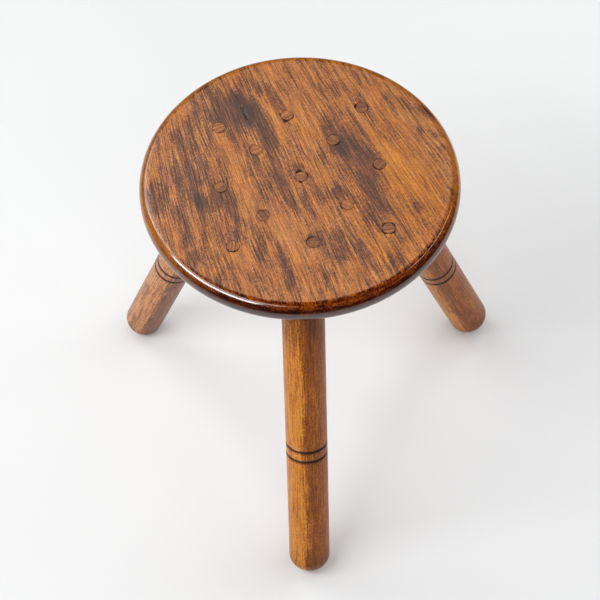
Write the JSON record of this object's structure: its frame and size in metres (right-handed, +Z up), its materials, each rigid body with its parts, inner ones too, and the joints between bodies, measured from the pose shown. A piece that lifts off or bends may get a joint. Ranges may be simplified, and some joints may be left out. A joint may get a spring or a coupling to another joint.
{
  "type": "three leg stool",
  "caption": "Low round wooden stool: bull-nosed seat board screwed through plugged holes to a block that holds splayed, round, turned legs.",
  "frame": {"origin": "on the floor, straight below the centre of the seat board", "axes": "+Z up, square to the seat top and the floor; -Y towards the front leg; +X to the right of a person facing the front leg from outside"},
  "size_m": [0.389, 0.3671, 0.387],
  "materials": {
    "seat_board": "orange-brown stain, blotchy dark figure along the grain, satin varnish on top and gloss on the rim",
    "plugs": "same stain as the seat, each plug's grain turned its own way, dark line round its edge",
    "legs": "orange-brown stain with streaks along the leg, semi-gloss varnish",
    "leg_block": "same stain, satin varnish",
    "wedges": "raw hardwood, hidden",
    "screws": "zinc-plated steel, hidden under the plugs"
  },
  "bodies": {
    "root": {"seat_board": "seat_board", "leg_block": "leg_block", "leg_front": "legs", "leg_left": "legs", "leg_right": "legs", "wedge_front": "wedges", "wedge_left": "wedges", "wedge_right": "wedges", "plug_01": "plugs", "plug_02": "plugs", "plug_03": "plugs", "plug_04": "plugs", "plug_05": "plugs", "plug_06": "plugs", "plug_07": "plugs", "plug_08": "plugs", "plug_09": "plugs", "plug_10": "plugs", "plug_11": "plugs", "plug_12": "plugs", "plug_13": "plugs", "screw_01": "screws", "screw_02": "screws", "screw_03": "screws", "screw_04": "screws", "screw_05": "screws", "screw_06": "screws", "screw_07": "screws", "screw_08": "screws", "screw_09": "screws", "screw_10": "screws", "screw_11": "screws", "screw_12": "screws", "screw_13": "screws"}
  },
  "joints": []
}
